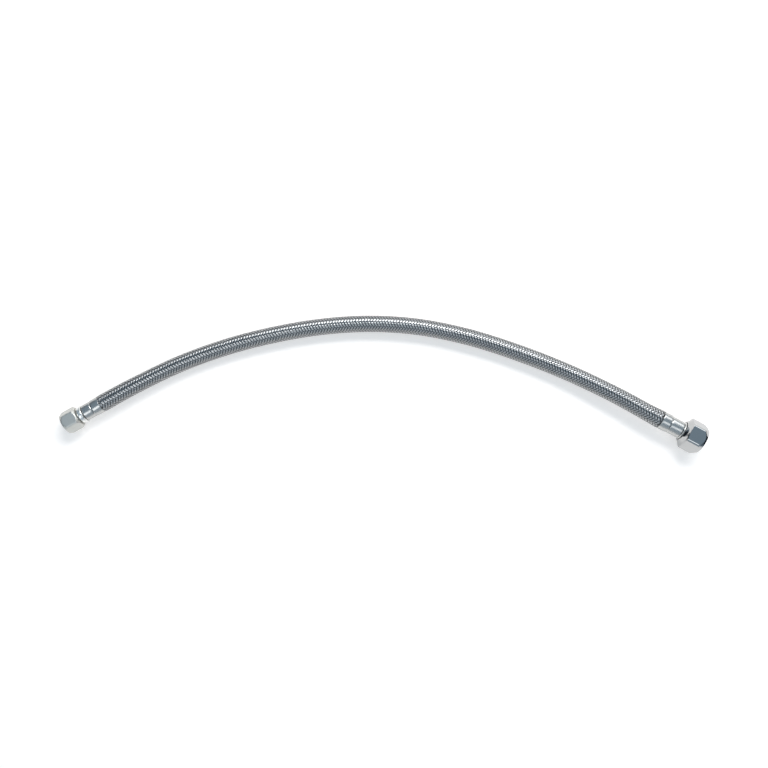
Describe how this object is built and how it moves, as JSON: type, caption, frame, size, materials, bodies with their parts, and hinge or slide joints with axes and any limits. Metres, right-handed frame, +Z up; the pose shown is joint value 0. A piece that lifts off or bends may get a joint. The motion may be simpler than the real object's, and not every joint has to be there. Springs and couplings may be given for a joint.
{
  "type": "braided water supply line",
  "caption": "Flexible steel-braided hose lying in a shallow arch, crimped at both ends to inserts that carry loose hex nuts.",
  "frame": {"origin": "centre of the box round the two fittings, without the hose, on the table that the line lies on", "axes": "+X from the valve end to the faucet end, +Y towards the crown of the hose's arch, +Z up"},
  "size_m": [0.529, 0.1071, 0.0238],
  "materials": {
    "lining_rubber": "matte black rubber",
    "braid_steel": "woven bright stainless wire",
    "ferrule_steel": "polished stainless sheet",
    "insert_plated_brass": "bright nickel plate over brass",
    "slip_nylon": "natural nylon",
    "seal_rubber": "matte black rubber",
    "nut_nickel": "satin nickel plate over brass",
    "nut_chrome": "polished chrome plate over brass"
  },
  "bodies": {
    "hose": {"hose_lining": "lining_rubber", "hose_braid": "braid_steel", "valve_ferrule": "ferrule_steel", "valve_insert": "insert_plated_brass", "valve_cone_seal": "seal_rubber", "faucet_ferrule": "ferrule_steel", "faucet_insert": "insert_plated_brass", "faucet_flat_seal": "seal_rubber"},
    "valve_slip": {"valve_slip_washer": "slip_nylon"},
    "valve_swivel": {"valve_nut": "nut_nickel"},
    "faucet_slip": {"faucet_slip_washer": "slip_nylon"},
    "faucet_swivel": {"faucet_nut": "nut_chrome"}
  },
  "joints": [
    {"name": "valve_nut_play", "type": "slide", "parent": "hose", "child": "valve_slip", "axis": [-0.8554, -0.518, 0], "range_m": [-0.001, 0.001]},
    {"name": "valve_nut_spin", "type": "hinge", "parent": "valve_slip", "child": "valve_swivel", "pos_m": [-0.25464, -0.00251, 0.0087], "axis": [-0.8554, -0.518, 0], "continuous": true},
    {"name": "faucet_nut_play", "type": "slide", "parent": "hose", "child": "faucet_slip", "axis": [0.8918, -0.4524, 0], "range_m": [-0.0011, 0.0011]},
    {"name": "faucet_nut_spin", "type": "hinge", "parent": "faucet_slip", "child": "faucet_swivel", "pos_m": [0.25137, -0.00207, 0.0119], "axis": [0.8918, -0.4524, 0], "continuous": true}
  ]
}
